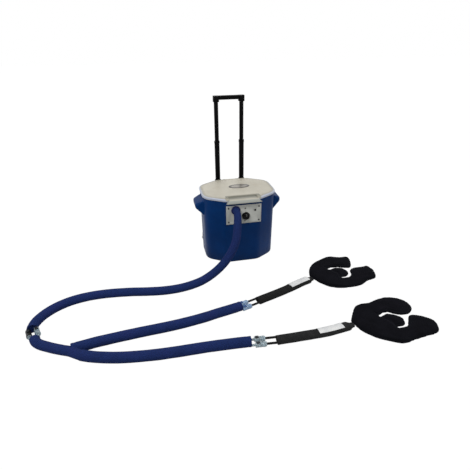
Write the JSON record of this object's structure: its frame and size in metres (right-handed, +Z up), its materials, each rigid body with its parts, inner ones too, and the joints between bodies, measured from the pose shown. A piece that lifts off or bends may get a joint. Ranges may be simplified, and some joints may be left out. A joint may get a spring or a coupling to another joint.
{
  "type": "hot cold therapy machine",
  "caption": "Wheeled blue cooler with a pull-out handle and control panel that pumps water through a long sleeved hose to two black wrap pads.",
  "frame": {"origin": "middle of the cooler's base, on the floor", "axes": "+X to the right seen from the front, +Y to the back, +Z up; the control panel faces -Y"},
  "size_m": [1.6457, 1.0892, 0.793],
  "materials": {
    "blue_plastic": "moulded, low sheen",
    "beige_plastic": "moulded, low sheen",
    "white_plastic": "moulded, smooth",
    "insulating_foam": "foamed in place",
    "black_plastic": "moulded, low sheen",
    "panel_grey": "printed film on a plate",
    "silver_film": "satin",
    "steel": "bare",
    "black_tube": "powder coated aluminium",
    "bush_plastic": "moulded",
    "circuit_board": "soldered board",
    "lamp_lens": "unlit lens",
    "clear_tube": "soft clear tube",
    "clear_coupling": "tinted clear plastic",
    "latch_plastic": "moulded",
    "hose_fabric": "woven sleeve over padding",
    "black_fabric": "stretch fabric sleeve",
    "pad_fabric": "welded, soft coated fabric",
    "wheel_rubber": "moulded wheel"
  },
  "bodies": {
    "cooler": {"cooler_shell": "blue_plastic", "foam_insulation": "insulating_foam", "cooler_liner": "white_plastic", "hinge_bracket": "black_plastic", "hinge_pin": "steel", "control_panel": "panel_grey", "panel_screws": "steel", "hose_gland": "black_plastic", "gland_nut": "black_plastic", "flow_control": "black_plastic", "control_board": "circuit_board", "indicator_lamp": "lamp_lens", "power_jack": "black_plastic", "pump_housing": "black_plastic", "pump_cover": "black_plastic", "supply_tube": "clear_tube", "return_tube": "clear_tube", "pump_lead": "black_plastic", "outer_tubes": "black_tube", "upper_bracket": "black_plastic", "lower_bracket": "black_plastic", "axle": "steel", "axle_caps": "steel", "main_hose": "hose_fabric", "main_couplings": "clear_coupling"},
    "lid": {"lid_shell": "beige_plastic", "lid_liner": "white_plastic", "lid_foam": "insulating_foam", "lid_badge": "silver_film"},
    "knob": {"control_knob": "black_plastic", "control_shaft": "steel"},
    "handle_middle": {"middle_tubes": "black_tube", "middle_collars": "black_plastic", "middle_bushes": "bush_plastic"},
    "handle_upper": {"inner_tubes": "black_tube", "inner_bushes": "bush_plastic", "handle_grip": "black_plastic", "grip_pad": "black_plastic"},
    "left_wheel": {"left_wheel": "wheel_rubber"},
    "right_wheel": {"right_wheel": "wheel_rubber"},
    "impeller": {"pump_impeller": "bush_plastic"},
    "hose_set": {"main_plugs": "clear_coupling", "trunk_hose": "hose_fabric", "y_splitter": "hose_fabric", "rear_branch_hose": "hose_fabric", "front_branch_hose": "hose_fabric", "rear_couplings": "clear_coupling", "front_couplings": "clear_coupling"},
    "rear_wrap": {"rear_plugs": "clear_coupling", "rear_pad_hose": "black_fabric", "rear_pad": "pad_fabric"},
    "front_wrap": {"front_plugs": "clear_coupling", "front_pad_hose": "black_fabric", "front_pad": "pad_fabric"},
    "main_latch_inner": {"main_latch_inner": "latch_plastic"},
    "main_latch_outer": {"main_latch_outer": "latch_plastic"},
    "rear_latch_far": {"rear_latch_far": "latch_plastic"},
    "rear_latch_near": {"rear_latch_near": "latch_plastic"},
    "front_latch_far": {"front_latch_far": "latch_plastic"},
    "front_latch_near": {"front_latch_near": "latch_plastic"}
  },
  "joints": [
    {"name": "lid_hinge", "type": "hinge", "parent": "cooler", "child": "lid", "pos_m": [0, 0.152, 0.352], "axis": [-1, 0, 0], "range_deg": [0, 88]},
    {"name": "handle_lower_slide", "type": "slide", "parent": "cooler", "child": "handle_middle", "axis": [0, 0, 1], "range_m": [-0.19, 0]},
    {"name": "handle_upper_slide", "type": "slide", "parent": "handle_middle", "child": "handle_upper", "axis": [0, 0, 1], "range_m": [-0.19, 0]},
    {"name": "knob_turn", "type": "hinge", "parent": "cooler", "child": "knob", "pos_m": [0.013, -0.16, 0.266], "axis": [0, -1, 0], "range_deg": [0, 300]},
    {"name": "left_wheel_spin", "type": "hinge", "parent": "cooler", "child": "left_wheel", "pos_m": [-0.163, 0.112, 0.0338], "axis": [1, 0, 0], "continuous": true},
    {"name": "right_wheel_spin", "type": "hinge", "parent": "cooler", "child": "right_wheel", "pos_m": [0.163, 0.112, 0.0338], "axis": [1, 0, 0], "continuous": true},
    {"name": "impeller_spin", "type": "hinge", "parent": "cooler", "child": "impeller", "pos_m": [-0.06, -0.02, 0.0585], "axis": [0, -1, 0], "continuous": true},
    {"name": "main_plug_pull", "type": "slide", "parent": "cooler", "child": "hose_set", "axis": [0.342, -0.9397, 0], "range_m": [0, 0.025]},
    {"name": "rear_plug_pull", "type": "slide", "parent": "hose_set", "child": "rear_wrap", "axis": [0.9455, 0.3256, 0], "range_m": [0, 0.025]},
    {"name": "front_plug_pull", "type": "slide", "parent": "hose_set", "child": "front_wrap", "axis": [0.9976, -0.0698, 0], "range_m": [0, 0.025]},
    {"name": "main_latch_inner_press", "type": "slide", "parent": "cooler", "child": "main_latch_inner", "axis": [0, 0, -1], "range_m": [0, 0.002], "stiffness_N_per_m": 900, "springref_m": -0.001},
    {"name": "main_latch_outer_press", "type": "slide", "parent": "cooler", "child": "main_latch_outer", "axis": [0, 0, -1], "range_m": [0, 0.002], "stiffness_N_per_m": 900, "springref_m": -0.001},
    {"name": "rear_latch_far_press", "type": "slide", "parent": "hose_set", "child": "rear_latch_far", "axis": [0, 0, -1], "range_m": [0, 0.002], "stiffness_N_per_m": 900, "springref_m": -0.001},
    {"name": "rear_latch_near_press", "type": "slide", "parent": "hose_set", "child": "rear_latch_near", "axis": [0, 0, -1], "range_m": [0, 0.002], "stiffness_N_per_m": 900, "springref_m": -0.001},
    {"name": "front_latch_far_press", "type": "slide", "parent": "hose_set", "child": "front_latch_far", "axis": [0, 0, -1], "range_m": [0, 0.002], "stiffness_N_per_m": 900, "springref_m": -0.001},
    {"name": "front_latch_near_press", "type": "slide", "parent": "hose_set", "child": "front_latch_near", "axis": [0, 0, -1], "range_m": [0, 0.002], "stiffness_N_per_m": 900, "springref_m": -0.001}
  ]
}
